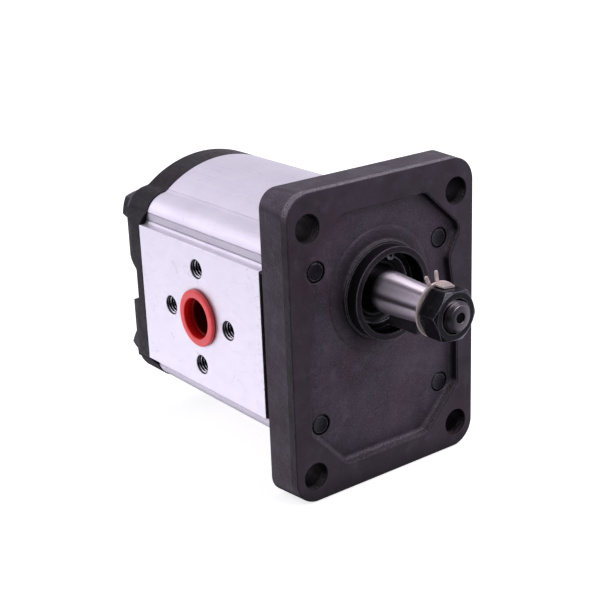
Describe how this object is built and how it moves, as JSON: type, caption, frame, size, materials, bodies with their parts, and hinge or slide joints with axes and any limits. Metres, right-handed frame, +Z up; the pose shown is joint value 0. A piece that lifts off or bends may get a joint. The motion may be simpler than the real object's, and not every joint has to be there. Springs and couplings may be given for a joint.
{
  "type": "hydraulic gear pump",
  "caption": "External gear pump with a rectangular flange and round pilot, tapered keyed shaft with nut, aluminium body, side ports and a rear cover.",
  "frame": {"origin": "on the flange's mounting face, at the middle of its lower border, 70.5 mm below the drive shaft's axis", "axes": "-Y along the drive shaft, out of the pump; +Y along the body to the rear cover; +Z up; the inlet is on the -X side and the outlet on the +X side"},
  "size_m": [0.0898, 0.1668, 0.1195],
  "materials": {
    "cast_iron": "black cast iron, fine sand-cast grain",
    "cover_iron": "black painted cast iron",
    "body_aluminium": "extruded aluminium with lengthwise lines, machined pads",
    "block_aluminium": "machined aluminium",
    "ground_steel": "ground and turned steel",
    "key_steel": "dark oiled key steel",
    "spring_steel": "bright spring steel",
    "zinc_plate": "bright zinc plate",
    "black_nut": "gloss black oxide",
    "black_bolt": "black oxide",
    "bush_bronze": "bronze bearing lining",
    "seal_rubber": "nitrile rubber",
    "backup_plastic": "white acetal",
    "red_plastic": "moulded red plastic"
  },
  "bodies": {
    "casing": {"front_flange": "cast_iron", "gear_housing": "body_aluminium", "rear_cover": "cover_iron", "bearing_block_front": "block_aluminium", "bearing_block_rear": "block_aluminium", "bush_drive_front": "bush_bronze", "bush_drive_rear": "bush_bronze", "bush_driven_front": "bush_bronze", "bush_driven_rear": "bush_bronze", "pressure_seal_front": "seal_rubber", "pressure_seal_rear": "seal_rubber", "backup_ring_front": "backup_plastic", "backup_ring_rear": "backup_plastic", "housing_seal_front": "seal_rubber", "housing_seal_rear": "seal_rubber", "shaft_lip_seal": "seal_rubber", "seal_garter_spring": "spring_steel", "snap_ring": "spring_steel", "through_bolt_1": "black_bolt", "bolt_washer_1": "black_bolt", "through_bolt_2": "black_bolt", "bolt_washer_2": "black_bolt", "through_bolt_3": "black_bolt", "bolt_washer_3": "black_bolt", "through_bolt_4": "black_bolt", "bolt_washer_4": "black_bolt", "dowel_front_1": "ground_steel", "dowel_front_2": "ground_steel", "dowel_rear_1": "ground_steel", "dowel_rear_2": "ground_steel"},
    "drive_shaft": {"drive_gear_shaft": "ground_steel", "woodruff_key": "key_steel", "tab_washer": "zinc_plate", "shaft_nut": "black_nut"},
    "driven_shaft": {"driven_gear_shaft": "ground_steel"},
    "inlet_plug": {"inlet_plug": "red_plastic"},
    "outlet_plug": {"outlet_plug": "red_plastic"}
  },
  "joints": [
    {"name": "drive_shaft_spin", "type": "hinge", "parent": "casing", "child": "drive_shaft", "pos_m": [0, 0, 0.0705], "axis": [0, 1, 0], "continuous": true},
    {"name": "driven_shaft_spin", "type": "hinge", "parent": "casing", "child": "driven_shaft", "pos_m": [0, 0, 0.0375], "axis": [0, 1, 0], "continuous": true},
    {"name": "inlet_plug_pull", "type": "slide", "parent": "casing", "child": "inlet_plug", "axis": [-1, 0, 0], "range_m": [0, 0.025]},
    {"name": "outlet_plug_pull", "type": "slide", "parent": "casing", "child": "outlet_plug", "axis": [1, 0, 0], "range_m": [0, 0.025]}
  ],
  "couplings": [
    {"joint": "driven_shaft_spin", "follows": "drive_shaft_spin", "ratio": -1}
  ]
}
